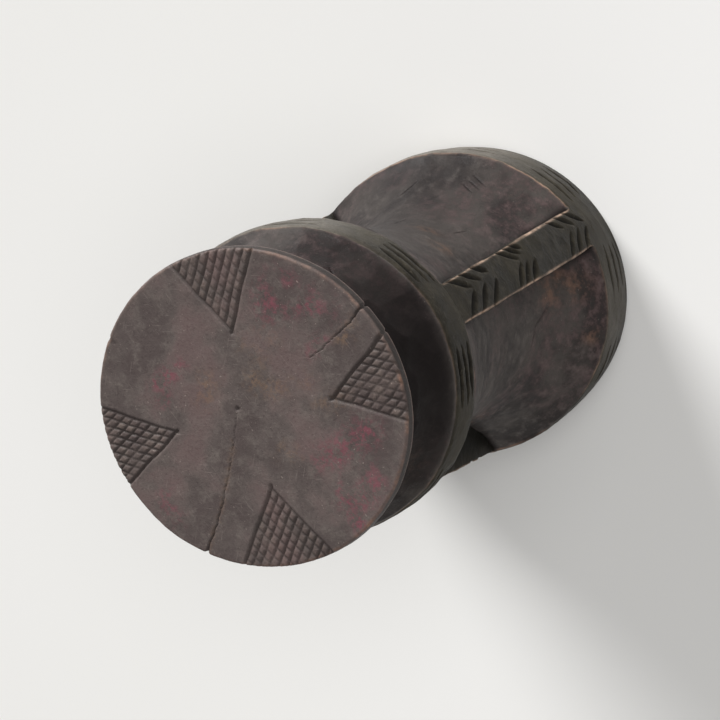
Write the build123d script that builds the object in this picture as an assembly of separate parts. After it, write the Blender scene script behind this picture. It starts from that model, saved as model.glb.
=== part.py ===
from build123d import *
import math
import os

# Carved wooden headrest that stands upright on its wide base ring.
# It was cut from one straight piece of log, so every member below shares the log's axis.
# Frame: millimetres, +Z up along that axis, origin at the centre of the foot face.
# The front (-Y) carries strut_1, and the other struts follow at equal angles.

# Heights of the faces and arrises, from the foot face up
TOTAL_HEIGHT = 180.0
DISC_THICKNESS = 3.6
UPPER_RING_TOP = 148.2
UPPER_RING_BOTTOM = 133.4
WAIST_HEIGHT = 66.0
BASE_RING_TOP = 27.0

# Radii of the arrises
DISC_RADIUS = 42.2
DISC_UNDER_RADIUS = 42.6
NECK_TOP_RADIUS = 33.5
UPPER_RING_RADIUS = 43.8
WAIST_RADIUS = 34.0
BASE_RING_RADIUS = 52.0
FOOT_RADIUS = 51.4

# How far each carved side leaves the straight line between its two ends
NECK_HOLLOW = 3.0
SHAFT_HOLLOW = 3.0
FLARE_HOLLOW = 4.0
RING_CROWN = 0.5
RIM_CROWN = 0.1
STRUT_CROWN = 0.1

# Worn edges of the head disc and of the foot
RIM_ROUND = 0.6
FOOT_ROUND = 1.2

# Struts: strips of the log's outside, left standing between the windows
STRUT_COUNT = 3
FIRST_STRUT_ANGLE = -90.0
STRUT_TOP_WIDTH = 12.4
STRUT_BOTTOM_WIDTH = 14.6

DISC_UNDERSIDE = TOTAL_HEIGHT - DISC_THICKNESS
CLEAR_RADIUS = 2 * BASE_RING_RADIUS
HEIGHT_TOLERANCE = 0.01


def side_arc(bottom_radius, bottom, top_radius, top, hollow):
    """The side of a round member: it passes inside its chord by hollow, or outside if that is negative."""
    run = top_radius - bottom_radius
    rise = top - bottom
    chord = math.hypot(run, rise)
    middle_radius = (bottom_radius + top_radius) / 2 - hollow * rise / chord
    middle_height = (bottom + top) / 2 + hollow * run / chord
    start = (bottom_radius, 0, bottom)
    middle = (middle_radius, 0, middle_height)
    end = (top_radius, 0, top)
    return ThreePointArc(start, middle, end)


def turned(bottom_radius, bottom, top_radius, top, hollow):
    """A solid of revolution between two flat faces, with one arc for its side."""
    outline = [
        Line((0, 0, bottom), (bottom_radius, 0, bottom)),
        side_arc(bottom_radius, bottom, top_radius, top, hollow),
        Line((top_radius, 0, top), (0, 0, top)),
        Line((0, 0, top), (0, 0, bottom)),
    ]
    return revolve(Face(Wire(outline)), Axis.Z)


def round_edge(solid, height, radius):
    """Rounds the circular edge that lies at this height."""
    circles = solid.edges().filter_by(GeomType.CIRCLE)
    edges = [circle for circle in circles if abs(circle.center().Z - height) < HEIGHT_TOLERANCE]
    return fillet(edges, radius)


def head_disc():
    disc = turned(DISC_UNDER_RADIUS, DISC_UNDERSIDE, DISC_RADIUS, TOTAL_HEIGHT, -RIM_CROWN)
    return round_edge(disc, TOTAL_HEIGHT, RIM_ROUND)


def neck_flare():
    """The bell under the disc, which widens down to the upper ring."""
    return turned(UPPER_RING_RADIUS, UPPER_RING_TOP, NECK_TOP_RADIUS, DISC_UNDERSIDE, NECK_HOLLOW)


def upper_ring():
    return turned(UPPER_RING_RADIUS, UPPER_RING_BOTTOM, UPPER_RING_RADIUS, UPPER_RING_TOP, -RING_CROWN)


def shaft_core():
    """The upper half of the hourglass, from the upper ring down to the waist."""
    return turned(WAIST_RADIUS, WAIST_HEIGHT, UPPER_RING_RADIUS, UPPER_RING_BOTTOM, SHAFT_HOLLOW)


def base_flare():
    """The lower half of the hourglass, from the waist out to the edge of the base ring."""
    return turned(BASE_RING_RADIUS, BASE_RING_TOP, WAIST_RADIUS, WAIST_HEIGHT, FLARE_HOLLOW)


def base_ring():
    ring = turned(FOOT_RADIUS, 0, BASE_RING_RADIUS, BASE_RING_TOP, -RING_CROWN)
    return round_edge(ring, 0, FOOT_ROUND)


def window_band(core, flare):
    """What lies between the hourglass and the log's outside, all the way round."""
    outside = turned(BASE_RING_RADIUS, BASE_RING_TOP, UPPER_RING_RADIUS, UPPER_RING_BOTTOM, -STRUT_CROWN)
    return outside - core - flare


def strut_wedge(angle):
    """A tapering slab that stands on the axis and keeps one strut's width of the band."""
    corners = [
        (-STRUT_BOTTOM_WIDTH / 2, BASE_RING_TOP),
        (STRUT_BOTTOM_WIDTH / 2, BASE_RING_TOP),
        (STRUT_TOP_WIDTH / 2, UPPER_RING_BOTTOM),
        (-STRUT_TOP_WIDTH / 2, UPPER_RING_BOTTOM),
    ]
    face = make_face(Polyline(*corners, close=True))
    slab = extrude(Plane.XZ * face, CLEAR_RADIUS)
    return Rot(0, 0, angle + 90) * slab


def main():
    core = shaft_core()
    flare = base_flare()
    band = window_band(core, flare)
    parts = {
        "head_disc": head_disc(),
        "neck_flare": neck_flare(),
        "upper_ring": upper_ring(),
        "shaft_core": core,
        "base_flare": flare,
        "base_ring": base_ring(),
    }
    for index in range(STRUT_COUNT):
        angle = FIRST_STRUT_ANGLE + index * 360 / STRUT_COUNT
        parts[f"strut_{index + 1}"] = band & strut_wedge(angle)

    os.makedirs("parts", exist_ok=True)
    for name, solid in parts.items():
        solid.label = name
        export_step(solid, f"parts/{name}.step")


main()
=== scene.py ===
"""Looks of the carved wooden headrest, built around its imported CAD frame.

Each CAD node is replaced by one closed, carved mesh of the same member. Lengths are in millimetres
until a mesh is written, which turns them into the frame's metres. Azimuths are in degrees about +Z.
"""

import itertools
import math

import bpy
import numpy as np
from mathutils import Matrix, Vector


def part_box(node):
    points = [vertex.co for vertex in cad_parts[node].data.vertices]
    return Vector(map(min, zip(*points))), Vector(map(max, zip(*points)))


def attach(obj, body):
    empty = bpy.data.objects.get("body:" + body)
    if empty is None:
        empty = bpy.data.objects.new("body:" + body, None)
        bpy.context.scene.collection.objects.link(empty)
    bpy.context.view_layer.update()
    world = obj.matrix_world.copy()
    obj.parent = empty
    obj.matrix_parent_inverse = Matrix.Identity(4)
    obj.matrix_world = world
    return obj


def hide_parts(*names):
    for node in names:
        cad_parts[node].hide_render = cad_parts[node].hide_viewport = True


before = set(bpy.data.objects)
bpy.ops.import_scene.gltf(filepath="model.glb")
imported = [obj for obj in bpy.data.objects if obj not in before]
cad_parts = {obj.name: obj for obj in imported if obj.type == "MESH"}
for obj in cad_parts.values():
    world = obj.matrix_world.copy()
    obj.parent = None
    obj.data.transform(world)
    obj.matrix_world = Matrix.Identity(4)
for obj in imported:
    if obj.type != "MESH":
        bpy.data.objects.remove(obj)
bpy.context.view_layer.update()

MM = 0.001
SEED = 4117
OCTAVES = 3


def heights(node):
    """Lowest and highest height of a CAD node, in millimetres."""
    low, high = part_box(node)
    return low.z / MM, high.z / MM


FOOT, BASE_TOP = heights("base_ring")
WAIST = heights("shaft_core")[0]
RING_BOTTOM, RING_TOP = heights("upper_ring")
DISC_BOTTOM, DISC_TOP = heights("head_disc")

# Radii of the arrises, and how far each side leaves its chord: the CAD's own driving dimensions
FOOT_RADIUS = 51.4
BASE_RADIUS = 52.0
WAIST_RADIUS = 34.0
RING_RADIUS = 43.8
NECK_RADIUS = 33.5
DISC_RADIUS = 42.2
DISC_UNDER_RADIUS = 42.6
FLARE_HOLLOW = 4.0
SHAFT_HOLLOW = 3.0
NECK_HOLLOW = 3.0
RING_CROWN = -0.5
FOOT_ROUND = 1.2

# Struts: azimuth at the base ring and at the upper ring, as hand work left them, and half widths
STRUTS = {
    "strut_1": (-88.3, -91.8),
    "strut_2": (30.2, 29.0),
    "strut_3": (156.5, 156.0),
}
STRUT_HALF_BOTTOM = 7.3
STRUT_HALF_TOP = 6.2

COLUMNS = 720

# The log isn't quite round: it is this share wider along one azimuth and narrower across it
OVAL = 0.022
OVAL_AZIMUTH = math.radians(60.0)


# ---------------------------------------------------------------- noise and tool marks


def lattice_value(cells, seed):
    """A fixed random number from 0 to 1 for each integer cell."""
    mixed = cells[..., 0] * 73856093 ^ cells[..., 1] * 19349663 ^ cells[..., 2] * 83492791
    mixed = (mixed ^ (seed * 2654435761)) & 0xFFFFFFFF
    mixed = ((mixed >> 15) ^ mixed) * 2246822519 & 0xFFFFFFFF
    mixed = ((mixed >> 13) ^ mixed) * 3266489917 & 0xFFFFFFFF
    return ((mixed >> 16) ^ mixed) / 0xFFFFFFFF


def noise(points, cell, seed):
    """Smooth noise from -1 to 1 whose bumps are about one cell wide."""
    scaled = points / cell
    base = np.floor(scaled).astype(np.int64)
    t = scaled - base
    t = t * t * (3 - 2 * t)
    total = np.zeros(points.shape[:-1])
    for corner in itertools.product((0, 1), repeat=3):
        weight = np.prod(np.where(corner, t, 1 - t), axis=-1)
        total += weight * lattice_value(base + np.array(corner), seed)
    return 2 * total - 1


def fractal(points, cell, seed):
    """Noise with finer noise on top, each octave half as large and half as strong."""
    total = 0
    for octave in range(OCTAVES):
        total = total + noise(points, cell / 2**octave, seed + octave) / 2**octave
    return total


def scallops(across, along, cell_across, cell_along, turn, seed):
    """Shallow overlapping scoops of a tool, from 0 in a scoop's middle to about 1 on the ridges.

    across repeats after turn, so that the cuts close round the object.
    """
    count = max(1, round(turn / cell_across))
    u = across / turn * count
    v = along / cell_along
    cell_u = np.floor(u).astype(np.int64)
    cell_v = np.floor(v).astype(np.int64)
    nearest = np.full(u.shape, 9.0)
    for step_u, step_v in itertools.product((-1, 0, 1), repeat=2):
        near_u = cell_u + step_u
        near_v = cell_v + step_v
        key = np.stack([np.mod(near_u, count), near_v, np.zeros_like(near_u)], axis=-1)
        centre_u = near_u + 0.15 + 0.7 * lattice_value(key, seed)
        centre_v = near_v + 0.15 + 0.7 * lattice_value(key, seed + 1)
        nearest = np.minimum(nearest, (u - centre_u) ** 2 + (v - centre_v) ** 2)
    return nearest * 2


def smooth(value):
    """0 below 0, 1 above 1, and a smooth step between."""
    t = np.clip(value, 0, 1)
    return t * t * (3 - 2 * t)


def turned_from(azimuth, centre):
    """Azimuth from centre, between -180 and 180 degrees."""
    return np.mod(azimuth - centre + 180, 360) - 180


def facing(azimuth, centre, spread):
    """1 at an azimuth, falling smoothly away over that many degrees."""
    return np.exp(-((turned_from(azimuth, centre) / spread) ** 2))


def leaf_cut(azimuth, height, cut):
    """Depth of one leaf-shaped V cut, from 0 to 1, on a band of the log's outside.

    cut is (azimuth, height) at its start and its end, and its width in millimetres.
    """
    start_azimuth, start_height, end_azimuth, end_height, width = cut
    radius = outside_radius((start_height + end_height) / 2)
    scale = math.radians(1) * radius
    run = turned_from(end_azimuth, start_azimuth) * scale
    rise = end_height - start_height
    length = math.hypot(run, rise)
    x = turned_from(azimuth, start_azimuth) * scale
    y = height - start_height
    t = (x * run + y * rise) / length**2
    aside = np.abs(x * rise - y * run) / length
    leaf = np.clip(4 * t * (1 - t), 0, 1) ** 0.55
    open_width = np.maximum(width / 2 * leaf, 1e-6)
    return leaf * np.clip(1 - aside / open_width, 0, 1)


# ---------------------------------------------------------------- outline of the object


def side(start, end, hollow, spacing):
    """(radius, height) points along a member's side, one arc, both ends included."""
    run = end[0] - start[0]
    rise = end[1] - start[1]
    chord = math.hypot(run, rise)
    count = max(2, round(chord / spacing) + 1)
    sag = abs(hollow)
    radius = (chord**2 / 4 + sag**2) / (2 * sag)
    half_angle = math.asin(chord / (2 * radius))
    angle = np.linspace(-half_angle, half_angle, count)
    along = radius * np.sin(angle) + chord / 2
    inward = math.copysign(1, hollow) * (radius * np.cos(angle) - (radius - sag))
    radii = start[0] + along * run / chord - inward * rise / chord
    levels = start[1] + along * rise / chord + inward * run / chord
    return np.stack([radii, levels], axis=1)


def outside_radius(height):
    """Radius of the log's outside, which the ring bands and the struts keep."""
    share = (height - BASE_TOP) / (RING_BOTTOM - BASE_TOP)
    return BASE_RADIUS + np.clip(share, 0, 1) * (RING_RADIUS - BASE_RADIUS)


def strut_centre(name, height):
    base, top = STRUTS[name]
    share = np.clip((height - BASE_TOP) / (RING_BOTTOM - BASE_TOP), 0, 1)
    return base + share * (top - base)


def strut_half_width(height):
    share = np.clip((height - BASE_TOP) / (RING_BOTTOM - BASE_TOP), 0, 1)
    return STRUT_HALF_BOTTOM + share * (STRUT_HALF_TOP - STRUT_HALF_BOTTOM)


def strut_share(azimuth, height, fade):
    """1 over a strut, 0 beside it, fading over that many millimetres."""
    share = np.zeros(np.broadcast(azimuth, height).shape)
    for name in STRUTS:
        aside = np.abs(turned_from(azimuth, strut_centre(name, height)))
        aside = aside * math.radians(1) * outside_radius(height)
        share = np.maximum(share, smooth((strut_half_width(height) + fade - aside) / fade))
    return share


# ---------------------------------------------------------------- cuts on the log's outside

RING_CUT_WIDTH = 2.3
UPPER_RING_GROUPS = (-161, -116, -71, -27, 18, 63, 109, 155)
UPPER_RING_LINES = (137.2, 141.0, 144.9)
UPPER_CUT_HALF = 10.5
BASE_RING_GROUPS = (-143, -107, -69, -38, -3, 33, 69, 105, 142, 178)
BASE_RING_LINES = (19.0, 12.2, 5.4)
BASE_CUT_HALF = 9.5
CUT_DEPTH = 1.1

# Chevrons: height of the tip, and how much of the half width each arm crosses from its edge
CHEVRONS = (
    (118.5, 1.0, 1.0),
    (110.0, 0.9, 1.0),
    (101.5, 0.7, 0.95),
    (82.0, 1.0, 1.0),
    (76.3, 0.75, 0.9),
    (71.0, 0.55, 0.85),
    (38.5, 0.8, 1.0),
    (31.0, 0.9, 1.0),
    (23.3, 1.0, 0.9),
)
LONG_ARM_RISE = 11.5
SHORT_ARM_RISE = 9.5
ARM_WIDTH = 2.4
TIP_OFFSET = 0.9

# How far hand work leaves the log's true outside: tool facets, slow waves and fine ripple
OUTSIDE_FACETS = 0.20
OUTSIDE_WAVES = 0.24
OUTSIDE_RIPPLE = 0.05


def ring_cuts(generator):
    """The groups of three parallel cuts round both ring bands."""
    cuts = []
    bands = (
        (UPPER_RING_GROUPS, UPPER_RING_LINES, UPPER_CUT_HALF),
        (BASE_RING_GROUPS, BASE_RING_LINES, BASE_CUT_HALF),
    )
    for groups, lines, half in bands:
        for group, line in itertools.product(groups, lines):
            shift = generator.normal(0, 0.7)
            half_here = half * generator.uniform(0.88, 1.08)
            tilt = generator.normal(0, 0.35)
            width = RING_CUT_WIDTH * generator.uniform(0.8, 1.15)
            start = group + shift - half_here
            end = group + shift + half_here
            cuts.append((start, line - tilt, end, line + tilt, width))
    return cuts


def chevron_cuts(generator):
    """The chevrons of every strut. Each arm starts at an edge and runs down to the middle."""
    cuts = []
    for name, (tip, long_share, short_share) in itertools.product(STRUTS, CHEVRONS):
        arms = ((1, LONG_ARM_RISE, long_share), (-1, SHORT_ARM_RISE, short_share))
        for toward, rise, share in arms:
            tip_here = tip + generator.normal(0, 0.35)
            edge_height = tip_here + rise
            inner_height = edge_height - rise * share
            half = float(strut_half_width(edge_height))
            degrees = math.degrees(1) / outside_radius(edge_height)
            edge = strut_centre(name, edge_height) + toward * (half + 0.3) * degrees
            reach = (half - toward * TIP_OFFSET) * (1 - share) + 0.4
            inner = strut_centre(name, inner_height) + (TIP_OFFSET + toward * reach) * degrees
            width = ARM_WIDTH * generator.uniform(0.85, 1.1)
            cuts.append((edge, edge_height, inner, inner_height, width))
    return cuts


CUTS = ring_cuts(np.random.default_rng(SEED)) + chevron_cuts(np.random.default_rng(SEED + 1))


def cut_share(azimuth, height):
    """How deep the cuts go here, from 0 to 1."""
    share = np.zeros(azimuth.shape)
    for cut in CUTS:
        low = min(cut[1], cut[3]) - 2
        high = max(cut[1], cut[3]) + 2
        close = (height > low) & (height < high) & (np.abs(turned_from(azimuth, cut[0])) < 25)
        share[close] = np.maximum(share[close], leaf_cut(azimuth[close], height[close], cut))
    return share


def outside_carving(azimuth, height, points):
    """What hand work takes off or leaves on the log's outside, and the cuts there."""
    cuts = cut_share(azimuth, height)
    turn = 2 * math.pi * BASE_RADIUS
    across = np.mod(azimuth, 360) / 360 * turn
    facets = scallops(across, height, 8.0, 9.0, turn, SEED + 2)
    relief = OUTSIDE_FACETS * (facets - 0.5)
    relief += OUTSIDE_WAVES * fractal(points, 18, SEED + 3)
    relief += OUTSIDE_RIPPLE * noise(points, 3, SEED + 4)
    return relief - CUT_DEPTH * cuts, cuts


# ---------------------------------------------------------------- meshes


def with_oval(points):
    """Applies the log's slight oval to points in millimetres."""
    along = np.array([math.cos(OVAL_AZIMUTH), math.sin(OVAL_AZIMUTH)])
    aside = np.array([-along[1], along[0]])
    plan = points[..., :2]
    moved = points.copy()
    stretch = OVAL * (plan @ along)[..., None] * along
    squeeze = OVAL * (plan @ aside)[..., None] * aside
    moved[..., :2] = plan + stretch - squeeze
    return moved


ATTRIBUTES = ("dirt_and_shade", "wear", "pink", "rub_and_sheen")


def write_mesh(name, points, faces, smooth_faces, marks, material, node, normals=None):
    """Writes one closed piece, which stands for that CAD node."""
    mesh = bpy.data.meshes.new(name)
    mesh.vertices.add(len(points))
    mesh.vertices.foreach_set("co", (with_oval(points) * MM).astype(np.float32).ravel())
    counts = np.array([len(group[0]) for group in faces for _ in group], np.int32)
    corners = np.concatenate([group.ravel() for group in faces]).astype(np.int32)
    mesh.loops.add(len(corners))
    mesh.loops.foreach_set("vertex_index", corners)
    mesh.polygons.add(len(counts))
    starts = np.concatenate([[0], np.cumsum(counts)[:-1]]).astype(np.int32)
    mesh.polygons.foreach_set("loop_start", starts)
    mesh.update(calc_edges=True)
    mesh.polygons.foreach_set("use_smooth", smooth_faces)
    for label in ATTRIBUTES:
        values = marks.get(label, np.zeros(len(points)))
        layer = mesh.attributes.new(label, "FLOAT", "POINT")
        layer.data.foreach_set("value", values.astype(np.float32))
    mesh.validate()
    if normals is not None:
        mesh.normals_split_custom_set_from_vertices(normals.tolist())
    mesh.materials.append(material)
    piece = bpy.data.objects.new(name, mesh)
    bpy.context.scene.collection.objects.link(piece)
    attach(piece, "root")
    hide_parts(node)


def grid_normals(grid):
    """Outward unit normals of closed rings of points, after the oval."""
    shaped = with_oval(grid)
    around = np.roll(shaped, -1, axis=1) - np.roll(shaped, 1, axis=1)
    up = np.gradient(shaped, axis=0)
    normals = np.cross(around, up)
    return normals / np.linalg.norm(normals, axis=-1, keepdims=True)


def ring_quads(loops):
    """Quads between closed loops of point numbers, lowest first and anticlockwise seen from above."""
    after = np.roll(loops, -1, axis=1)
    return np.stack([loops[:-1], after[:-1], after[1:], loops[1:]], axis=-1).reshape(-1, 4)


def low_fan(loop, centre):
    """Triangles that close the lowest loop, round a point at its centre."""
    return np.stack([np.roll(loop, -1), loop, np.full(len(loop), centre)], axis=-1)


def tube_piece(name, grid, marks, material, node, normals=None):
    """A closed piece from rings of points, lowest ring first, each anticlockwise seen from above."""
    rows, columns = grid.shape[:2]
    loops = np.arange(rows * columns).reshape(rows, columns)
    quads = ring_quads(loops)
    bottom = rows * columns
    top_fan = low_fan(loops[-1], bottom + 1)[:, [1, 0, 2]]
    fans = np.concatenate([low_fan(loops[0], bottom), top_fan])
    ends = np.stack([grid[0].mean(axis=0), grid[-1].mean(axis=0)])
    points = np.concatenate([grid.reshape(-1, 3), ends])
    flags = np.concatenate([np.ones(len(quads), bool), np.zeros(len(fans), bool)])
    values = {label: np.concatenate([field.ravel(), [0, 0]]) for label, field in marks.items()}
    if normals is not None:
        normals = np.concatenate([normals.reshape(-1, 3), [[0, 0, -1], [0, 0, 1]]])
    write_mesh(name, points, (quads, fans), flags, values, material, node, normals)


# ---------------------------------------------------------------- the turned members

ARRIS_WEAR = 0.38
ARRIS_SPREAD = 0.75
WORN_LINE = 0.42
BAND_FADE = 1.2
STRUT_FADE = 1.2
# Rows on each side of the waist over which its corner is rounded
WAIST_EASE = 36
FOOT_ROWS = 30
FOOT_RIM = 6.0
FOOT_FACETS = 0.35
FOOT_DISH = 0.6
NECK_FACETS = 0.42
FLARE_FACETS = 0.42
SHAFT_FACETS = 0.04
HOLLOW_WAVES = 0.40
HOLLOW_RIPPLE = 0.05
NICK_DEPTH = 0.4


def ease_waist(points, starts):
    """Rounds the corner where flare and shaft meet, because the wood runs through there unbroken."""
    _, flare, core, ring, _, _ = starts
    eased = points.copy()
    window = np.hanning(2 * WAIST_EASE + 1)
    window /= window.sum()
    for row in range(core - WAIST_EASE, core + WAIST_EASE + 1):
        reach = min(WAIST_EASE, row - flare, ring - row)
        near_rows = points[row - reach : row + reach + 1, 0]
        weights = window[WAIST_EASE - reach : WAIST_EASE + reach + 1]
        eased[row, 0] = (near_rows * weights).sum() / weights.sum()
    return eased


def outline():
    """(radius, height) points from the foot's middle up to the disc, and where each member starts."""
    foot_edge = FOOT_RADIUS - FOOT_ROUND
    foot_radii = np.linspace(2, foot_edge, FOOT_ROWS)
    foot = np.stack([foot_radii, np.full(FOOT_ROWS, FOOT)], axis=1)
    turn = np.linspace(0, math.pi / 2, 5)
    round_radii = foot_edge + FOOT_ROUND * np.sin(turn)
    round_levels = FOOT + FOOT_ROUND * (1 - np.cos(turn))
    rounding = np.stack([round_radii, round_levels], axis=1)
    sides = [
        side((FOOT_RADIUS, FOOT + FOOT_ROUND), (BASE_RADIUS, BASE_TOP), RING_CROWN, 0.4),
        side((BASE_RADIUS, BASE_TOP), (WAIST_RADIUS, WAIST), FLARE_HOLLOW, 0.44),
        side((WAIST_RADIUS, WAIST), (RING_RADIUS, RING_BOTTOM), SHAFT_HOLLOW, 0.5),
        side((RING_RADIUS, RING_BOTTOM), (RING_RADIUS, RING_TOP), RING_CROWN, 0.38),
        side((RING_RADIUS, RING_TOP), (NECK_RADIUS, DISC_BOTTOM), NECK_HOLLOW, 0.44),
    ]
    points = [foot, rounding[1:]]
    starts = []
    total = len(foot) + len(rounding) - 1
    for member in sides:
        starts.append(total - 1)
        points.append(member[1:])
        total += len(member) - 1
    starts.append(total - 1)
    return ease_waist(np.concatenate(points), starts), starts


def outward(points):
    """Unit normals of an outline that climbs, pointing away from the axis."""
    tangent = np.gradient(points, axis=0)
    tangent /= np.linalg.norm(tangent, axis=1)[:, None]
    return np.stack([tangent[:, 1], -tangent[:, 0]], axis=1)


# Scratches and nicks: azimuth, height at both ends, and width, on the hollow sides
HOLLOW_NICKS = (
    (-106, 74.5, -117, 71.4, 0.8),
    (-113.5, 47.5, -122, 54.5, 1.0),
    (-121, 54, -134, 55, 0.9),
    (-43, 33.0, -51, 36.0, 0.8),
    (-42, 35.0, -50, 38.0, 0.8),
    (-41, 37.0, -48, 40.0, 0.7),
    (-60, 60, -56, 66, 0.7),
    (-30, 62, -28, 74, 0.7),
    (-22, 36, -15, 43, 0.8),
    (62, 44, 74, 50, 0.9),
    (98, 58, 104, 66, 0.8),
    (178, 46, 190, 52, 0.9),
    (-179, 59, -172, 55, 1.3),
    (-132, 160, -124, 164, 0.7),
    (-60, 162, -52, 158, 0.7),
)
# Soft dents of the hollow sides: azimuth, height, half size and depth
HOLLOW_DENTS = (
    (-101, 31, 6, 1.3),
    (-47, 58, 6, 0.8),
    (-55, 70, 6, 0.6),
    (-34, 36, 9, 0.6),
    (-140, 44, 10, 0.6),
    (-71, 31, 3, -0.5),
    (-74.5, 30.5, 2.5, -0.4),
    (-178, 54, 4, 1.0),
    (5, 48, 9, 0.6),
    (90, 50, 10, 0.6),
    (58, 34, 7, 0.9),
    (178, 34, 8, 0.8),
)
# Orange-brown rubs: azimuth, height, half size
HOLLOW_RUBS = (
    (-103, 41, 4.5),
    (-107, 45, 5),
    (-108, 36, 4.5),
    (-130, 31, 2.5),
    (-176, 58, 3),
    (-63, 86, 4),
    (-47, 74, 4),
    (70, 52, 6),
    (14, 62, 5),
    (172, 58, 6),
    (-150, 160, 6),
)


# Azimuth of the painted shade on the neck's side turned from the key light, darkest here
NECK_SHADE_SIDE = -105
# Azimuth round which the shaft and flare are darker
DARKER_SIDE = -22
# Azimuth of the painted sheen across the ring bands, and where the base ring carries a little more
# painted sheen
SHEEN_SIDE = -20
SHEEN_BASE_SIDE = -122


def near(azimuth, height, radius, spot_azimuth, spot_height, size):
    """1 at a spot, falling smoothly to 0 over about twice its half size."""
    aside = turned_from(azimuth, spot_azimuth) * math.radians(1) * radius
    return np.exp(-(aside**2 + (height - spot_height) ** 2) / size**2)


def hollow_carving(azimuth, path, height, radius, points):
    """Tool marks of the neck, shaft and flare. path is the distance along the outline."""
    turn = 2 * math.pi * 40
    across = np.mod(azimuth, 360) / 360 * turn
    lean = across + 1.2 * noise(points, 14, SEED + 8)
    on_neck = smooth((height - RING_TOP) / 2)
    on_flare = smooth((WAIST + 16 - height) / 22)
    on_shaft = np.clip(1 - on_neck - on_flare, 0, 1)
    relief = np.zeros(azimuth.shape)
    # Where the facets lie, how deep they are, their width and length, and their seed
    for place, amount, wide, long, seed in (
        (on_neck, NECK_FACETS, 8.5, 8.0, 9),
        (on_flare, FLARE_FACETS, 13.0, 16.0, 11),
        (on_shaft, SHAFT_FACETS, 6.0, 34.0, 13),
    ):
        relief += amount * place * (scallops(lean, path, wide, long, turn, SEED + seed) - 0.5)
    relief += HOLLOW_WAVES * fractal(points, 17, SEED + 15)
    relief += HOLLOW_RIPPLE * noise(points, 2.5, SEED + 18)
    for spot_azimuth, spot_height, size, depth in HOLLOW_DENTS:
        relief -= depth * near(azimuth, height, radius, spot_azimuth, spot_height, size)
    nicks = np.zeros(azimuth.shape)
    for cut in HOLLOW_NICKS:
        close = (np.abs(turned_from(azimuth, cut[0])) < 25) & (np.abs(height - cut[1]) < 20)
        nicks[close] = np.maximum(nicks[close], leaf_cut(azimuth[close], height[close], cut))
    return relief - NICK_DEPTH * nicks, nicks


def arris_closeness(path, arrises, spread):
    """1 on an arris and 0 away from it, along the outline."""
    share = np.zeros(path.shape)
    for arris in arrises:
        share = np.maximum(share, np.exp(-(((path - arris) / spread) ** 2)))
    return share


def band_share(path, height, starts):
    """1 on the ring bands and 0 elsewhere, fading just past each arris."""
    first, flare, _, ring, neck, _ = starts
    rows = np.arange(len(path))
    banded = ((rows >= first) & (rows <= flare)) | ((rows >= ring) & (rows <= neck))
    share = np.where(banded[:, None], 1.0, 0.0)
    for row, direction in ((flare, 1), (ring, -1), (neck, 1)):
        beyond = (path - path[row, 0]) * direction
        fade = np.where(beyond >= 0, smooth(1 - beyond / BAND_FADE), 0)
        share = np.maximum(share, fade * (height > BASE_TOP - 1))
    return share


def foot_carving(radius, points):
    """Tool facets and a slight dish in the foot face, negative where wood is gone."""
    facets = scallops(points[..., 0] + 100, points[..., 1], 11.0, 14.0, 2 * 210.0, SEED + 20)
    relief = -FOOT_FACETS * np.clip(facets, 0, 1) * smooth((FOOT_RADIUS - radius) / FOOT_RIM)
    return relief - FOOT_DISH * smooth((FOOT_RADIUS - FOOT_RIM - radius) / 30)


def hollow_dirt_and_shade(azimuth, height, nicks, neck_shade):
    """Dark tone of the neck, shaft and flare: dirt in the nicks, painted shade in the corners beside the
    struts, under the disc and on the neck's shaded side, and a darker side of the shaft and flare.
    """
    # Painted shade beside the struts, where their walls meet the shaft, and under the disc
    beside = strut_share(azimuth, height, 3.5) * (height < RING_BOTTOM)
    shade_under_disc = smooth((height - DISC_BOTTOM + 16) / 16)
    darker_side = facing(azimuth, DARKER_SIDE, 48) * (height < RING_BOTTOM)
    return 0.5 * nicks + 0.8 * beside + 0.7 * shade_under_disc + 0.95 * neck_shade + 0.62 * darker_side


def hollow_rub(azimuth, height, radius):
    """Where the hollow sides are rubbed to an orange brown."""
    rub_and_sheen = np.zeros(azimuth.shape)
    for spot_azimuth, spot_height, size in HOLLOW_RUBS:
        rub_and_sheen = np.maximum(rub_and_sheen, near(azimuth, height, radius, spot_azimuth, spot_height, size))
    return rub_and_sheen


def band_sheen(azimuth, height, wear_noise):
    """Painted sheen on the ring bands: pale round the sheen side, more strongly on the base ring."""
    base_sheen = facing(azimuth, SHEEN_BASE_SIDE, 20) * (height < BASE_TOP)
    sheen = np.maximum(facing(azimuth, SHEEN_SIDE, 31), 0.5 * base_sheen)
    sheen = sheen * (0.4 + 0.5 * wear_noise)
    return np.clip(np.where(height < BASE_TOP, 1.2, 0.85) * sheen, 0, 1)


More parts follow.
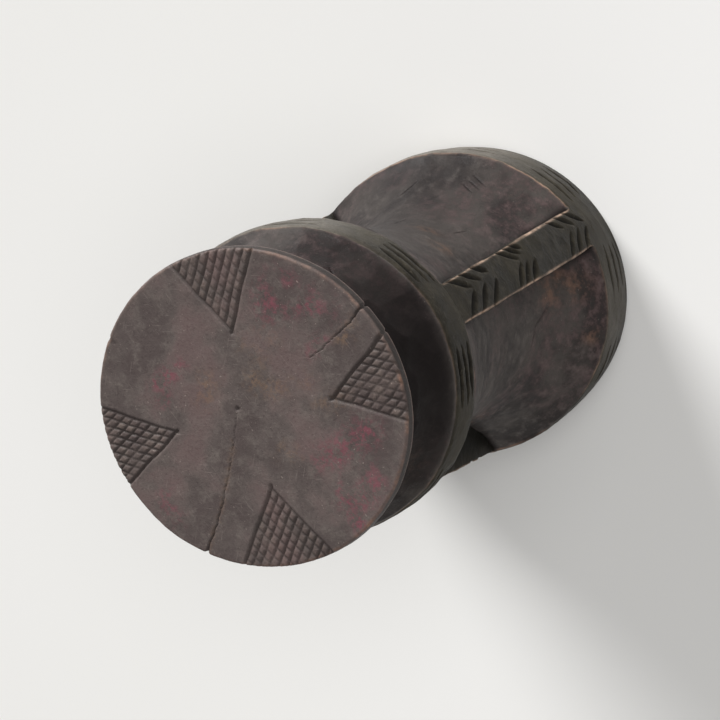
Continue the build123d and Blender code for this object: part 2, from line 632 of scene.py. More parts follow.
def turned_members():
    """The rings of points of every turned member, with what the materials read from them."""
    outline_points, starts = outline()
    first, flare, core, ring, neck, last = starts
    steps = np.linalg.norm(np.diff(outline_points, axis=0), axis=1)
    path = np.concatenate([[0], np.cumsum(steps)])
    normals = outward(outline_points)
    azimuth = np.linspace(0, 360, COLUMNS, endpoint=False)[None, :]
    azimuth = np.broadcast_to(azimuth, (len(outline_points), COLUMNS))
    height = np.broadcast_to(outline_points[:, 1:], azimuth.shape)
    radius = np.broadcast_to(outline_points[:, :1], azimuth.shape)
    path = np.broadcast_to(path[:, None], azimuth.shape)
    turn = np.radians(azimuth)
    solid = np.stack([radius * np.cos(turn), radius * np.sin(turn), height], axis=-1)
    on_foot = (np.arange(len(path)) < first)[:, None] & np.ones(azimuth.shape, bool)

    band = band_share(path, height, starts)
    outside, cuts = outside_carving(azimuth, height, solid)
    hollow, nicks = hollow_carving(azimuth, path, height, radius, solid)
    relief = np.where(on_foot, foot_carving(radius, solid), band * outside + (1 - band) * hollow)

    clear_of_struts = 1 - strut_share(azimuth, height, STRUT_FADE)
    windows = (path[flare, 0], path[ring, 0])
    crown = (path[neck, 0],)
    wear_noise = 0.75 + 0.5 * noise(solid, 9, SEED + 21) + 0.35 * noise(solid, 2.2, SEED + 22)
    rounded = arris_closeness(path, windows, ARRIS_SPREAD) * clear_of_struts
    rounded = np.maximum(rounded, arris_closeness(path, crown, ARRIS_SPREAD))
    rounding = ARRIS_WEAR * np.clip(wear_noise, 0.3, 1.8) * rounded

    # Ring bands move straight out from the axis, hollow sides along the outline's normal
    across = band + (1 - band) * normals[:, None, 0]
    along = (1 - band) * normals[:, None, 1]
    radius_out = np.where(on_foot, radius, radius + relief * across - rounding * normals[:, None, 0])
    height_out = height + relief * along - rounding * normals[:, None, 1]
    height_out = np.where(on_foot, FOOT - relief, height_out)
    grid = np.stack([radius_out * np.cos(turn), radius_out * np.sin(turn), height_out], axis=-1)

    # Painted shade on the neck's side turned from the key light, from the upper ring's top up to the
    # disc
    neck_shade = facing(azimuth, NECK_SHADE_SIDE, 80) * smooth((height - RING_TOP + 3) / 6)
    wear = 0.8 * arris_closeness(path, windows, WORN_LINE) * clear_of_struts
    wear = np.maximum(wear, 0.45 * arris_closeness(path, crown, 0.4))
    wear = wear * (1 - 0.75 * neck_shade) * np.clip(wear_noise, 0.15, 1.3)
    wear = wear * smooth(0.55 + 1.1 * noise(solid, 16, SEED + 26))
    hollow_only = np.where(on_foot, 0, 1 - band)
    # Dark in the ring cuts, plus the hollow sides' dirt in nicks and their painted shade
    dirt_and_shade = 1.3 * cuts * band + hollow_only * hollow_dirt_and_shade(azimuth, height, nicks, neck_shade)
    rub_and_sheen = hollow_rub(azimuth, height, radius) * hollow_only
    # Painted sheen on the ring bands
    rub_and_sheen += band_sheen(azimuth, height, wear_noise) * band
    pink = smooth(0.5 + fractal(solid, 22, SEED + 24)) * hollow_only
    marks = {"dirt_and_shade": np.clip(dirt_and_shade, 0, 1), "wear": wear, "rub_and_sheen": rub_and_sheen, "pink": pink}
    members = {
        "base_ring": (0, flare),
        "base_flare": (flare, core),
        "shaft_core": (core, ring),
        "upper_ring": (ring, neck),
        "neck_flare": (neck, last),
    }
    return grid, marks, members


def turned_normals(grid, members):
    """Normals of the turned members. Where a strut stands on an arris they follow the ring's band."""
    normals = grid_normals(grid)
    azimuth = np.linspace(0, 360, COLUMNS, endpoint=False)
    for node, band_side, level in (("base_flare", -1, BASE_TOP), ("upper_ring", 1, RING_BOTTOM)):
        row = members[node][0]
        share = strut_share(azimuth, level, 1.2)[:, None]
        normals[row] += share * (normals[row + 2 * band_side] - normals[row])
    return normals


# ---------------------------------------------------------------- struts

STRUT_ROWS = 250
STRUT_FACE_POINTS = 36
STRUT_WALL_POINTS = 14
STRUT_HALF_MEAN = 6.5
# The face's points crowd towards its arrises by this much of a sine
FACE_BEND = math.radians(77.4)
# How far the walls reach into the shaft, and the ends into the rings
STRUT_SINK = 2.5
END_SINK = 0.015
END_REACH = 1.2


def hollow_radius_at(level):
    """Radius of the shaft and flare at a height, before any tool marks."""
    points, starts = outline()
    members = points[starts[1] : starts[3] + 1]
    return np.interp(level, members[:, 1], members[:, 0])


def sunk_end(section, upward):
    """One more ring of points past a strut's end, just inside the ring band that it meets."""
    inside = section * [1 - END_SINK, 1 - END_SINK, 1]
    return (inside + [0, 0, upward * END_REACH])[None]


def strut_section():
    """(aside, out) shares round a strut's section: up one wall, across the face, down the other."""
    bend = np.sin(np.linspace(-FACE_BEND, FACE_BEND, STRUT_FACE_POINTS)) / math.sin(FACE_BEND)
    climb = np.linspace(0, 1, STRUT_WALL_POINTS, endpoint=False) ** 0.7
    wall = np.ones(STRUT_WALL_POINTS)
    aside = np.concatenate([-wall, bend, wall])
    out = np.concatenate([climb, np.ones(STRUT_FACE_POINTS), climb[::-1]])
    return aside, out


def strut_piece(name, material):
    """A strip of the log's outside: carved outer face, rounded arrises, flat walls into the shaft."""
    aside, out = strut_section()
    level = np.linspace(BASE_TOP, RING_BOTTOM, STRUT_ROWS)
    outer = outside_radius(level)[:, None]
    inner = hollow_radius_at(level)[:, None] - STRUT_SINK
    half = strut_half_width(level)[:, None]
    radius = inner + (outer - inner) * out
    height = np.broadcast_to(level[:, None], radius.shape)
    centre = strut_centre(name, level)[:, None]
    azimuth = centre + np.degrees(half * aside / outer)
    turn = np.radians(azimuth)
    solid = np.stack([radius * np.cos(turn), radius * np.sin(turn), height], axis=-1)

    relief, cuts = outside_carving(azimuth, height, solid)
    on_face = np.broadcast_to(out == 1, radius.shape)
    from_arris = (1 - np.abs(aside)) * STRUT_HALF_MEAN
    edge = np.exp(-((from_arris / 0.55) ** 2)) * on_face
    ends = smooth((height - BASE_TOP) / 2.5) * smooth((RING_BOTTOM - height) / 2.5)
    wear_noise = 0.8 + 0.5 * noise(solid, 8, SEED + 31) + 0.3 * noise(solid, 2, SEED + 32)
    rounding = 0.30 * edge * np.clip(wear_noise, 0.2, 1.6) * ends
    radius_out = radius + np.where(on_face, relief, 0) - rounding
    wall_relief = np.where(on_face, 0, 0.22 * fractal(solid, 9, SEED + 33))
    wander = 0.3 * noise(solid * [0, 0, 1] + SEED, 14, SEED + 34) * (np.abs(aside) > 0.99)
    sideways = np.sign(aside) * ends * (wall_relief + wander - 0.22 * edge)

    middle = np.radians(centre)
    offset = outer * np.sin(turn - middle) + sideways
    depth = radius_out * np.cos(turn - middle)
    x = depth * np.cos(middle) - offset * np.sin(middle)
    y = depth * np.sin(middle) + offset * np.cos(middle)
    grid = np.stack([x, y, height], axis=-1)
    grid = np.concatenate([sunk_end(grid[0], -1), grid, sunk_end(grid[-1], 1)])

    near_arris = np.exp(-((from_arris / 0.45) ** 2)) * on_face
    wear = near_arris * np.clip(wear_noise, 0.2, 1.4) * (0.25 + 0.75 * ends)
    # The face is dark in its cuts; the walls get painted shade, deepening towards the shaft
    dirt_and_shade = np.where(on_face, cuts, 0.35 + 0.5 * smooth((outer - radius) / 6))
    marks = {"dirt_and_shade": np.clip(dirt_and_shade, 0, 1), "wear": wear}
    marks = {label: np.pad(field, ((1, 1), (0, 0)), mode="edge") for label, field in marks.items()}
    tube_piece(name + "_carved", grid, marks, material, name)


# ---------------------------------------------------------------- head disc

FACE_CELLS = 266
# The rounded edges of the face and of the underside
FACE_EDGE = 0.7
UNDER_EDGE = 0.5
LINE_HALF = 0.525
BORDER_HALF = 0.62
CRACK_DEPTH = 0.9
PITH_DEPTH = 0.5
FACE_DROP = 0.18
# Notches in the rim: azimuth, half width in degrees, depth. The last reaches only the face's edge.
NOTCHES = ((-78.6, 0.6, 0.7), (130.2, 0.7, 0.6), (-89.5, 0.5, 0.35))
FACE_NOTCH = (35.0, 1.0, 0.5)
TRIANGLES = (
    # apex, the two base corners, depth of the lines along each side, depth of both border lines
    ((19.7, -7.6), (40.8, -2.8), (34.7, -24.2), 0.30, 0.58, 0.45, 0.80),
    ((-7.6, -22.1), (-0.3, -42.2), (-23.0, -37.9), 0.48, 0.46, 0.80, 0.46),
    ((-20.1, 5.6), (-32.0, 21.0), (-39.1, 1.0), 0.58, 0.38, 0.62, 0.44),
    ((4.3, 21.3), (19.0, 36.2), (-1.1, 40.9), 0.48, 0.46, 0.46, 0.80),
)
LINE_SPACING = 2.2
PITH = (1.7, 2.1)
CRACK_LONG = ((2.1, 1.9), (-7.3, 9.9), (-15.4, 17.9), (-21.8, 24.8), (-26.4, 31.1), (-28.2, 33.4))
CRACK_SHORT = ((8.8, -43.4), (8.2, -42.0), (6.3, -36.2), (4.7, -28.6), (3.7, -22.7))
PINK_SPOTS = (
    # along a line: both ends and half size
    ((-19.4, -23.4), (-20.9, -17.2), 1.7),
    ((-20.9, -17.2), (-27.0, -10.5), 1.5),
    ((-27.0, -10.5), (-31.6, -10.2), 1.6),
    ((-31.6, -10.2), (-38.9, -10.7), 2.2),
    ((-19.0, -25.0), (-21.0, -12.0), 4.0),
    ((18.2, 14.7), (18.3, 10.3), 2.2),
    ((17.5, 18.1), (14.0, 20.0), 2.6),
    ((21.0, -20.0), (18.0, -28.0), 4.5),
    ((25.0, -25.0), (12.0, -33.0), 3.5),
    ((5.0, -23.6), (6.7, -28.0), 2.0),
    ((-10.5, 33.0), (-16.0, 34.5), 3.2),
    ((-30.0, -22.0), (-34.0, -14.0), 3.0),
)
OCHRE_SPOTS = (
    ((14.9, -10.0), (9.0, -12.0), 2.8),
    ((15.5, -14.5), (12.0, -15.5), 2.4),
    ((1.0, -13.5), (-2.0, -17.5), 3.2),
    ((-5.5, -19.0), (-9.0, -22.5), 2.8),
    ((-13.0, -3.0), (-16.0, -5.5), 2.6),
    ((12.0, 6.0), (8.0, 9.0), 3.0),
    ((3.8, -33.0), (6.0, -38.5), 2.2),
    ((6.0, -6.0), (2.0, -9.5), 3.0),
)


def distance_to_line(x, y, start, end):
    """Distance to a stretch of line, and how far along it the nearest point is, from 0 to 1."""
    run = end[0] - start[0]
    rise = end[1] - start[1]
    t = np.clip(((x - start[0]) * run + (y - start[1]) * rise) / (run**2 + rise**2), 0, 1)
    return np.hypot(x - start[0] - t * run, y - start[1] - t * rise), t


def side_distance(x, y, apex, corner, inside):
    """Distance from the line through apex and corner, positive on the side of the point inside."""
    run = corner[0] - apex[0]
    rise = corner[1] - apex[1]
    length = math.hypot(run, rise)
    value = ((x - apex[0]) * rise - (y - apex[1]) * run) / length
    sign = (inside[0] - apex[0]) * rise - (inside[1] - apex[1]) * run
    return value * math.copysign(1, sign)


def hatched(x, y, points, triangle, seed):
    """Depth of one hatched triangle, two sets of V lines between two border lines, and where it lies."""
    apex, left, right, left_depth, right_depth, left_border, right_border = triangle
    wobble = 0.28 * noise(points, 4.5, seed) + 0.10 * noise(points, 1.6, seed + 1)
    from_left = side_distance(x, y, apex, left, right) + wobble
    from_right = side_distance(x, y, apex, right, left) + 0.22 * noise(points, 5.5, seed + 2)
    inside = smooth((from_left + 0.25) / 0.5) * smooth((from_right + 0.25) / 0.5)
    vary = np.clip(0.85 + 0.5 * noise(points, 3.0, seed + 3), 0.25, 1.3)
    depth = np.zeros(x.shape)
    for distance, line_depth in ((from_left, left_depth), (from_right, right_depth)):
        aside = np.abs(np.mod(distance + LINE_SPACING / 2, LINE_SPACING) - LINE_SPACING / 2)
        line = np.clip(1 - aside / LINE_HALF, 0, 1)
        depth = np.maximum(depth, line * line_depth * inside * vary)
    sides = ((from_left, from_right, left_border), (from_right, from_left, right_border))
    for distance, other, border in sides:
        line = np.clip(1 - np.abs(distance) / BORDER_HALF, 0, 1) * smooth((other + 1.2) / 0.8)
        depth = np.maximum(depth, line * border)
    return depth + 0.05 * inside, inside


def crack_depth(x, y, points, line, start_width, end_width):
    """Depth from 0 to 1 of a crack along a line whose width changes from one end to the other."""
    shift_x = 0.28 * noise(points, 2.4, SEED + 41) + 0.14 * noise(points, 0.9, SEED + 42)
    shift_y = 0.28 * noise(points, 2.3, SEED + 43) + 0.14 * noise(points, 0.8, SEED + 44)
    depth = np.zeros(x.shape)
    last = len(line) - 1
    for piece, (start, end) in enumerate(zip(line[:-1], line[1:])):
        distance, t = distance_to_line(x + shift_x, y + shift_y, start, end)
        width = start_width + (end_width - start_width) * (piece + t) / last
        opening = np.clip(1 - distance / width, 0, 1)
        depth = np.maximum(depth, opening * np.clip(width / 0.34 - 0.1, 0.15, 1))
    return depth


def spots(x, y, points, lines, seed):
    """Soft streaks of colour along lines, broken up by noise."""
    share = np.zeros(x.shape)
    broken = np.clip(0.75 + 0.9 * fractal(points, 5.0, seed), 0, 1.2)
    for start, end, size in lines:
        distance, _ = distance_to_line(x, y, start, end)
        share = np.maximum(share, np.exp(-((distance / size) ** 2)) * broken)
    return np.clip(share, 0, 1)


def square_to_disc(cells):
    """Grid points of a square moved onto a unit disc, with evenly sized cells."""
    steps = np.linspace(-1, 1, cells + 1)
    a, b = np.meshgrid(steps, steps)
    wide = np.abs(a) > np.abs(b)
    safe_a = np.where(a == 0, 1, a)
    safe_b = np.where(b == 0, 1, b)
    eighth = math.pi / 4
    radius = np.where(wide, a, b)
    angle = np.where(wide, eighth * b / safe_a, 2 * eighth - eighth * a / safe_b)
    return radius * np.cos(angle), radius * np.sin(angle)


def disc_relief(points):
    """How far the face is lowered here, in millimetres, and its marks."""
    x = points[:, 0]
    y = points[:, 1]
    flat = points * [1, 1, 0]
    depth = np.zeros(len(points))
    hatch = np.zeros(len(points))
    for number, triangle in enumerate(TRIANGLES):
        cut, inside = hatched(x, y, flat, triangle, SEED + 50 + 10 * number)
        depth = np.maximum(depth, cut)
        hatch = np.maximum(hatch, inside)
    lines = np.clip(depth / 0.4, 0, 1)
    long_crack = crack_depth(x, y, flat, CRACK_LONG, 0.10, 0.34)
    short_crack = crack_depth(x, y, flat, CRACK_SHORT, 0.34, 0.14)
    cracks = np.maximum(long_crack, short_crack)
    pith = np.exp(-((x - PITH[0]) ** 2 + (y - PITH[1]) ** 2) / 0.5**2)
    depth = depth + CRACK_DEPTH * cracks + PITH_DEPTH * pith + FACE_DROP
    depth += 0.16 * fractal(flat, 24, SEED + 45) + 0.05 * noise(flat, 6, SEED + 47)
    depth += 0.05 * scallops(x + 300, y, 7.0, 10.0, 630.0, SEED + 48)
    beside_crack = np.exp(-((crack_distance(x, y, CRACK_LONG) / 0.9) ** 2)) * (y > 8)
    marks = {
        "dirt_and_shade": np.clip(0.45 * lines + 1.2 * cracks + 0.4 * pith, 0, 1),
        "pink": spots(x, y, flat, PINK_SPOTS, SEED + 61),
        "rub_and_sheen": np.maximum(spots(x, y, flat, OCHRE_SPOTS, SEED + 64), 0.55 * beside_crack),
        "wear": 0.12 * hatch * (1 - lines),
    }
    return depth, marks


def crack_distance(x, y, line):
    """Distance to the nearest stretch of a crack's line."""
    distances = [distance_to_line(x, y, start, end)[0] for start, end in zip(line[:-1], line[1:])]
    return np.min(distances, axis=0)


def disc_section():
    """(inset from the face's edge, height) rows from the face's edge round to the underside."""
    edge = []
    for angle in np.linspace(0.25, math.pi / 2, 5):
        edge.append((FACE_EDGE * (1 - math.sin(angle)), DISC_TOP - FACE_EDGE * (1 - math.cos(angle))))
    low = DISC_BOTTOM + UNDER_EDGE
    rim = [(0.0, level) for level in np.linspace(DISC_TOP - FACE_EDGE, low, 7)[1:]]
    corner = []
    for angle in np.linspace(0.4, math.pi / 2, 3):
        corner.append((UNDER_EDGE * (1 - math.cos(angle)), low - UNDER_EDGE * math.sin(angle)))
    under = [(inset, DISC_BOTTOM) for inset in (2.0, 5.0, 8.5, 12.0)]
    return edge + rim + corner + under


def disc_mesh():
    """The disc before carving: its points, its quads, and the triangles that close the underside."""
    x, y = square_to_disc(FACE_CELLS)
    face_radius = DISC_RADIUS - FACE_EDGE
    face = np.stack([x * face_radius, y * face_radius, np.full(x.shape, DISC_TOP)], axis=-1)
    face = face.reshape(-1, 3)
    index = np.arange(len(face)).reshape(x.shape)
    quads = np.stack([index[:-1, :-1], index[:-1, 1:], index[1:, 1:], index[1:, :-1]], axis=-1)
    border = np.concatenate([index[0, :-1], index[:-1, -1], index[-1, :0:-1], index[:0:-1, 0]])
    azimuth = np.arctan2(face[border, 1], face[border, 0])
    rows = []
    for inset, level in disc_section():
        share = (DISC_TOP - level) / (DISC_TOP - DISC_BOTTOM)
        radius = DISC_RADIUS + share * (DISC_UNDER_RADIUS - DISC_RADIUS) - inset
        levels = np.full(len(azimuth), level)
        rows.append(np.stack([radius * np.cos(azimuth), radius * np.sin(azimuth), levels], axis=1))
    rim = np.concatenate(rows)
    points = np.concatenate([face, rim, [[0, 0, DISC_BOTTOM]]])
    rim_index = len(face) + np.arange(len(rim)).reshape(len(rows), len(border))
    loops = np.concatenate([border[None, :], rim_index])
    all_quads = np.concatenate([quads.reshape(-1, 4), ring_quads(loops[::-1])])
    return points, all_quads, low_fan(loops[-1], len(points) - 1)


def head_disc(material):
    """The disc: a fine grid for the carved face, then rows round the rim to the underside."""
    points, quads, fan = disc_mesh()
    depth, marks = disc_relief(points)
    below = (DISC_TOP - points[:, 2]) / (DISC_TOP - DISC_BOTTOM)
    on_top = smooth(1 - below * 2.2)
    radius = np.hypot(points[:, 0], points[:, 1])
    turn = np.degrees(np.arctan2(points[:, 1], points[:, 0]))
    near_rim = smooth((radius - 38) / 4)
    rim_wobble = 0.16 * noise(points * [1, 1, 0.4], 9, SEED + 71) + 0.06 * noise(points, 2.0, SEED + 72)
    notch = sum(cut * facing(turn, centre, half) for centre, half, cut in NOTCHES)
    notch += FACE_NOTCH[2] * facing(turn, FACE_NOTCH[0], FACE_NOTCH[1]) * on_top
    inward = near_rim * (rim_wobble - notch)
    moved = points.copy()
    moved[:, :2] *= ((radius + inward) / np.maximum(radius, 1e-6))[:, None]
    moved[:, 2] -= depth * on_top
    moved[:, 2] = np.where(below > 0.95, DISC_BOTTOM, moved[:, 2])

    wear_noise = 0.8 + 0.6 * noise(points, 6, SEED + 73) + 0.4 * noise(points, 1.6, SEED + 74)
    wear_noise = np.clip(wear_noise, 0, 1.4)
    front = np.exp(-(((radius - DISC_RADIUS + 0.25) / 0.5) ** 2)) * smooth((0.35 - below) / 0.3)
    back = np.exp(-(((below - 0.9) / 0.1) ** 2)) * (radius > DISC_RADIUS - 1)
    worn_side = 0.35 + 0.65 * smooth(0.3 - np.sin(np.radians(turn + 30)))
    edges = np.maximum(0.9 * front * worn_side, 0.8 * back) * wear_noise
    rim_tone = 0.8 * smooth((below - 0.1) / 0.15) * (1 - back)
    dirt_and_shade = np.maximum(marks["dirt_and_shade"] * on_top, np.clip(notch, 0, 1) * near_rim)
    marks = {
        "wear": np.maximum(marks["wear"] * on_top, edges),
        "dirt_and_shade": np.where(below > 0.97, 0.8, np.maximum(dirt_and_shade, rim_tone)),
        "pink": marks["pink"] * on_top,
        "rub_and_sheen": marks["rub_and_sheen"] * on_top,
    }
    flags = np.concatenate([np.ones(len(quads), bool), np.zeros(len(fan), bool)])
    write_mesh("head_disc_carved", moved, (quads, fan), flags, marks, material, "head_disc")


# ---------------------------------------------------------------- materials


class Shader:
    """A short way to write a material's nodes."""

    def __init__(self, name):
        self.material = bpy.data.materials.new(name)
        self.material.use_nodes = True
        self.tree = self.material.node_tree
        self.tree.nodes.clear()
        self.output = self.node("ShaderNodeOutputMaterial")
        self.surface = self.node("ShaderNodeBsdfPrincipled")
        self.link(self.surface.outputs["BSDF"], self.output.inputs["Surface"])
        self.object_point = self.node("ShaderNodeTexCoord").outputs["Object"]

    def node(self, kind, **settings):
        made = self.tree.nodes.new(kind)
        for key, value in settings.items():
            setattr(made, key, value)
        return made

    def link(self, source, target):
        self.tree.links.new(source, target)

    def feed(self, socket, value):
        if isinstance(value, bpy.types.NodeSocket):
            self.link(value, socket)
        else:
            socket.default_value = value

    def scaled(self, scale, location=(0, 0, 0), turn=0.0):
        """Object coordinates turned about Z by that many degrees, then scaled along each axis."""
        source = self.object_point
        if turn:
            rotate = self.node("ShaderNodeVectorRotate", rotation_type="Z_AXIS")
            self.link(source, rotate.inputs["Vector"])
            rotate.inputs["Angle"].default_value = math.radians(turn)
            source = rotate.outputs["Vector"]
        mapping = self.node("ShaderNodeMapping")
        self.link(source, mapping.inputs["Vector"])
        mapping.inputs["Scale"].default_value = scale
        mapping.inputs["Location"].default_value = location
        return mapping.outputs["Vector"]

    def noise(self, scale, detail, roughness, vector=None):
        texture = self.node("ShaderNodeTexNoise")
        self.link(vector if vector is not None else self.object_point, texture.inputs["Vector"])
        texture.inputs["Scale"].default_value = scale
        texture.inputs["Detail"].default_value = detail
        texture.inputs["Roughness"].default_value = roughness
        return texture.outputs["Fac"]

    def ramp(self, value, low, high, low_out=0.0, high_out=1.0):
        """Maps low..high to low_out..high_out, held at both ends."""
        made = self.node("ShaderNodeMapRange", interpolation_type="SMOOTHSTEP")
        self.feed(made.inputs["Value"], value)
        made.inputs["From Min"].default_value = low
        made.inputs["From Max"].default_value = high
        made.inputs["To Min"].default_value = low_out
        made.inputs["To Max"].default_value = high_out
        return made.outputs["Result"]

    def math(self, operation, first, second):
        made = self.node("ShaderNodeMath", operation=operation)
        self.feed(made.inputs[0], first)
        self.feed(made.inputs[1], second)
        return made.outputs["Value"]

    def mix(self, share, first, second):
        made = self.node("ShaderNodeMix", data_type="RGBA")
        self.feed(made.inputs[0], share)
        self.feed(made.inputs[6], first)
        self.feed(made.inputs[7], second)
        return made.outputs[2]

    def attribute(self, name):
        return self.node("ShaderNodeAttribute", attribute_name=name).outputs["Fac"]

    def fleck(self, colour, texture, spread, share, tint):
        """Lays that share of a tint where the texture is above the spread, less within it."""
        return self.mix(self.ramp(texture, *spread, 0.0, share), colour, tint)

    def stain(self, colour, mark, texture, spread, shares, tint):
        """Lays a tint where a mark of the mesh is, broken up by the texture between both shares."""
        broken = self.math("MULTIPLY", self.attribute(mark), self.ramp(texture, *spread, *shares))
        return self.mix(broken, colour, tint)

    def bump(self, height, strength, distance, normal=None):
        made = self.node("ShaderNodeBump")
        made.inputs["Strength"].default_value = strength
        made.inputs["Distance"].default_value = distance
        self.link(height, made.inputs["Height"])
        if normal is not None:
            self.link(normal, made.inputs["Normal"])
        return made.outputs["Normal"]

    def finish(self, colour, roughness, normal, specular):
        self.link(colour, self.surface.inputs["Base Color"])
        self.link(roughness, self.surface.inputs["Roughness"])
        self.link(normal, self.surface.inputs["Normal"])
        self.surface.inputs["Specular IOR Level"].default_value = specular
        return self.material


def rgb(red, green, blue):
    """A colour written as it looks on screen, 0 to 255, as the linear colour that a node needs."""
    linear = []
    for value in (red, green, blue):
        share = value / 255
        linear.append(share / 12.92 if share <= 0.04045 else ((share + 0.055) / 1.055) ** 2.4)
    return (*linear, 1.0)


def patina(shader, tones, grain_scale, grain_share, seed_shift):
    """Wood colour from base, light and dark tones: broad clouds, mid mottling and grain streaks."""
    base, light, dark = (rgb(*tone) for tone in tones)
    shift = (seed_shift, 0, 0)
    clouds = shader.noise(45, 6, 0.6, shader.scaled((1, 1, 1), shift))
    mottle = shader.noise(260, 8, 0.68, shader.scaled((1, 1, 1), shift))
    grain = shader.noise(1.0, 5, 0.6, shader.scaled(grain_scale, shift))
    colour = shader.mix(shader.ramp(clouds, 0.40, 0.60), dark, base)
    colour = shader.fleck(colour, mottle, (0.45, 0.75), 0.75, light)
    return shader.fleck(colour, grain, (0.50, 0.75), grain_share, dark), clouds, mottle


def face_wood():
    """End grain of the head disc: dark, satin, with pink and ochre patches and pale specks."""
    shader = Shader("face_wood_end_grain")
    tones = ((94, 87, 83), (107, 99, 94), (80, 71, 69))
    colour, clouds, mottle = patina(shader, tones, (900, 900, 40), 0.45, 3.1)
    fine = shader.noise(1300, 4, 0.7)
    patches = shader.noise(520, 6, 0.7)
    specks = shader.noise(1500, 2, 0.5)
    colour = shader.fleck(colour, fine, (0.50, 0.72), 0.5, rgb(62, 54, 53))
    for turn, shift in ((32, 1.0), (-48, 2.0), (81, 3.0)):
        scratch = shader.noise(1.0, 3, 0.6, shader.scaled((2600, 130, 60), (shift, 0, 0), turn))
        colour = shader.fleck(colour, scratch, (0.64, 0.74), 0.30, rgb(138, 128, 122))
    colour = shader.stain(colour, "pink", patches, (0.42, 0.62), (0.0, 0.66), rgb(126, 68, 80))
    colour = shader.stain(colour, "rub_and_sheen", patches, (0.42, 0.64), (0.0, 0.45), rgb(128, 102, 80))
    colour = shader.fleck(colour, clouds, (0.46, 0.64), 0.32, rgb(104, 74, 76))
    colour = shader.fleck(colour, specks, (0.70, 0.76), 0.55, rgb(150, 138, 130))
    colour = shader.stain(colour, "wear", mottle, (0.38, 0.66), (0.1, 0.9), rgb(138, 106, 90))
    colour = shader.mix(shader.attribute("dirt_and_shade"), colour, rgb(30, 25, 23))
    uneven = shader.math("ADD", clouds, shader.math("MULTIPLY", fine, 0.4))
    rough = shader.ramp(uneven, 0.45, 0.95, 0.40, 0.56)
    normal = shader.bump(mottle, 0.5, 0.0004)
    normal = shader.bump(shader.noise(700, 8, 0.72), 0.4, 0.0003, normal)
    normal = shader.bump(shader.noise(2200, 4, 0.6), 0.35, 0.00012, normal)
    return shader.finish(colour, rough, normal, 0.14)


def hollow_wood():
    """Long grain of the neck, shaft and flare: dark with an aubergine cast."""
    shader = Shader("hollow_wood_long_grain")
    tones = ((76, 71, 68), (101, 95, 91), (52, 48, 47))
    colour, clouds, mottle = patina(shader, tones, (700, 700, 45), 0.10, 7.7)
    fine = shader.noise(1100, 4, 0.7)
    scratch = shader.noise(1.0, 3, 0.5, shader.scaled((300, 300, 2400), (1, 2, 3)))
    specks = shader.noise(1500, 2, 0.5)
    colour = shader.stain(colour, "pink", mottle, (0.40, 0.65), (0.0, 0.28), rgb(92, 56, 62))
    colour = shader.stain(colour, "rub_and_sheen", mottle, (0.40, 0.62), (0.05, 0.6), rgb(116, 88, 70))
    colour = shader.fleck(colour, fine, (0.50, 0.72), 0.26, rgb(34, 30, 30))
    colour = shader.fleck(colour, scratch, (0.66, 0.72), 0.14, rgb(112, 107, 103))
    colour = shader.fleck(colour, specks, (0.71, 0.76), 0.5, rgb(138, 130, 124))
    colour = shader.stain(colour, "wear", mottle, (0.36, 0.62), (0.15, 1.0), rgb(150, 116, 98))
    # Dark where the mesh marks dirt in nicks and painted shade beside the struts, under the disc and on
    # the neck's shaded side
    colour = shader.mix(shader.attribute("dirt_and_shade"), colour, rgb(24, 20, 20))
    rough = shader.ramp(clouds, 0.3, 0.7, 0.36, 0.54)
    normal = shader.bump(shader.noise(620, 8, 0.72), 0.32, 0.0004)
    normal = shader.bump(mottle, 0.40, 0.0006, normal)
    normal = shader.bump(shader.noise(1800, 4, 0.6), 0.3, 0.00012, normal)
    return shader.finish(colour, rough, normal, 0.06)


def band_wood():
    """Long grain of the rings and struts: olive-brown patina, pale worn arrises, dark cuts, painted
    sheen on the rings and painted shade on the struts' walls.
    """
    shader = Shader("band_wood_patina")
    tones = ((52, 48, 40), (68, 63, 53), (36, 33, 28))
    colour, clouds, mottle = patina(shader, tones, (600, 600, 50), 0.22, 11.3)
    fine = shader.noise(1100, 4, 0.7)
    scratch = shader.noise(1.0, 3, 0.5, shader.scaled((500, 500, 1900), (4, 2, 3)))
    # Painted sheen: pale where the rub_and_sheen mark lies on the rings
    colour = shader.mix(shader.attribute("rub_and_sheen"), colour, rgb(112, 107, 100))
    colour = shader.fleck(colour, fine, (0.50, 0.72), 0.45, rgb(32, 30, 26))
    colour = shader.fleck(colour, scratch, (0.64, 0.74), 0.30, rgb(112, 106, 94))
    colour = shader.stain(colour, "wear", mottle, (0.34, 0.58), (0.25, 1.0), rgb(172, 146, 128))
    # Dark in the cuts, and painted shade on the struts' walls
    colour = shader.mix(shader.attribute("dirt_and_shade"), colour, rgb(15, 14, 12))
    rough = shader.ramp(clouds, 0.3, 0.7, 0.38, 0.56)
    normal = shader.bump(shader.noise(700, 8, 0.72), 0.5, 0.0004)
    normal = shader.bump(mottle, 0.5, 0.0005, normal)
    normal = shader.bump(shader.noise(1800, 4, 0.6), 0.3, 0.00012, normal)
    return shader.finish(colour, rough, normal, 0.05)


def floor_paint():
    """Matt pale studio floor with a barely visible tone change."""
    shader = Shader("studio_floor")
    clouds = shader.noise(2.0, 3, 0.5)
    colour = shader.mix(shader.ramp(clouds, 0.3, 0.7), rgb(226, 225, 222), rgb(230, 229, 227))
    rough = shader.ramp(clouds, 0.3, 0.7, 0.62, 0.72)
    normal = shader.bump(shader.noise(300, 3, 0.5), 0.05, 0.0002)
    return shader.finish(colour, rough, normal, 0.3)


# ---------------------------------------------------------------- stage, light and camera


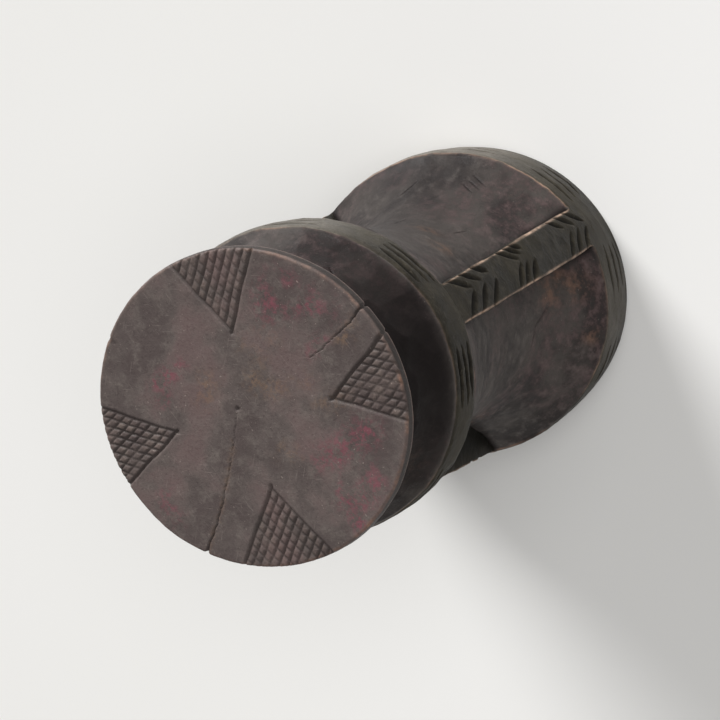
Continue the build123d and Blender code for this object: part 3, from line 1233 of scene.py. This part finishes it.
def floor():
    """A wide flat floor under the foot."""
    half = 15.0
    mesh = bpy.data.meshes.new("studio_floor")
    corners = [(-half, -half, 0), (half, -half, 0), (half, half, 0), (-half, half, 0)]
    mesh.from_pydata(corners, [], [(0, 1, 2, 3)])
    mesh.materials.append(floor_paint())
    plane = bpy.data.objects.new("studio_floor", mesh)
    plane.location.z = -0.0003
    bpy.context.scene.collection.objects.link(plane)


def soft_sun(name, direction, strength, spread):
    """A distant light from that direction, whose spread in degrees softens its shadows."""
    data = bpy.data.lights.new(name, "SUN")
    data.energy = strength
    data.angle = math.radians(spread)
    light = bpy.data.objects.new(name, data)
    away = Vector(direction).normalized()
    light.location = away
    light.rotation_euler = away.to_track_quat("Z", "Y").to_euler()
    bpy.context.scene.collection.objects.link(light)


def studio():
    """Soft key from the side, weak fills all round, and a pale surround."""
    soft_sun("key", (0.96, 0.02, 0.26), 5.4, 24)
    soft_sun("top", (0.0, -0.38, 0.92), 1.5, 45)
    soft_sun("fill_front", (-0.3, -1.0, 0.45), 0.08, 60)
    soft_sun("fill_back", (-0.9, 0.6, 0.45), 0.24, 60)
    world = bpy.data.worlds.new("studio")
    bpy.context.scene.world = world
    world.use_nodes = True
    tree = world.node_tree
    tree.nodes.clear()
    output = tree.nodes.new("ShaderNodeOutputWorld")
    mixer = tree.nodes.new("ShaderNodeMixShader")
    seen = tree.nodes.new("ShaderNodeBackground")
    glow = tree.nodes.new("ShaderNodeBackground")
    ray = tree.nodes.new("ShaderNodeLightPath")
    seen.inputs["Color"].default_value = (0.86, 0.86, 0.85, 1)
    seen.inputs["Strength"].default_value = 1.0
    glow.inputs["Color"].default_value = (1.0, 0.99, 0.98, 1)
    glow.inputs["Strength"].default_value = 0.18
    tree.links.new(ray.outputs["Is Camera Ray"], mixer.inputs["Fac"])
    tree.links.new(glow.outputs["Background"], mixer.inputs[1])
    tree.links.new(seen.outputs["Background"], mixer.inputs[2])
    tree.links.new(mixer.outputs["Shader"], output.inputs["Surface"])
    bpy.context.scene.view_settings.view_transform = "Standard"


CAMERA_PLACE = (-0.01201, -0.21489, 0.55194)
CAMERA_RIGHT = (-0.50182, -0.77367, -0.38678)
CAMERA_UP = (0.86472, -0.45947, -0.20285)
CAMERA_LENS = 85.0


def camera():
    """Looks down past the disc at the struts, rolled so that the object lies across the picture."""
    data = bpy.data.cameras.new("camera")
    data.lens = CAMERA_LENS
    data.sensor_width = 36.0
    data.clip_end = 50.0
    view = bpy.data.objects.new("camera", data)
    right = Vector(CAMERA_RIGHT).normalized()
    back = right.cross(Vector(CAMERA_UP)).normalized()
    up = back.cross(right)
    turn = Matrix((right, up, back)).transposed().to_4x4()
    view.matrix_world = Matrix.Translation(CAMERA_PLACE) @ turn
    bpy.context.scene.collection.objects.link(view)
    bpy.context.scene.camera = view


# ---------------------------------------------------------------- the whole scene


def build():
    face = face_wood()
    hollow = hollow_wood()
    band = band_wood()
    finishes = {
        "base_ring": (band, "band_wood"),
        "base_flare": (hollow, "hollow_wood"),
        "shaft_core": (hollow, "hollow_wood"),
        "upper_ring": (band, "band_wood"),
        "neck_flare": (hollow, "hollow_wood"),
    }
    grid, marks, members = turned_members()
    normals = turned_normals(grid, members)
    for node, (first, last) in members.items():
        material, slot = finishes[node]
        rows = slice(first, last + 1)
        part = {label: field[rows] for label, field in marks.items()}
        tube_piece(node + "_carved", grid[rows], part, material, node, normals[rows])
    for name in STRUTS:
        strut_piece(name, band)
    head_disc(face)
    floor()
    studio()
    camera()


build()
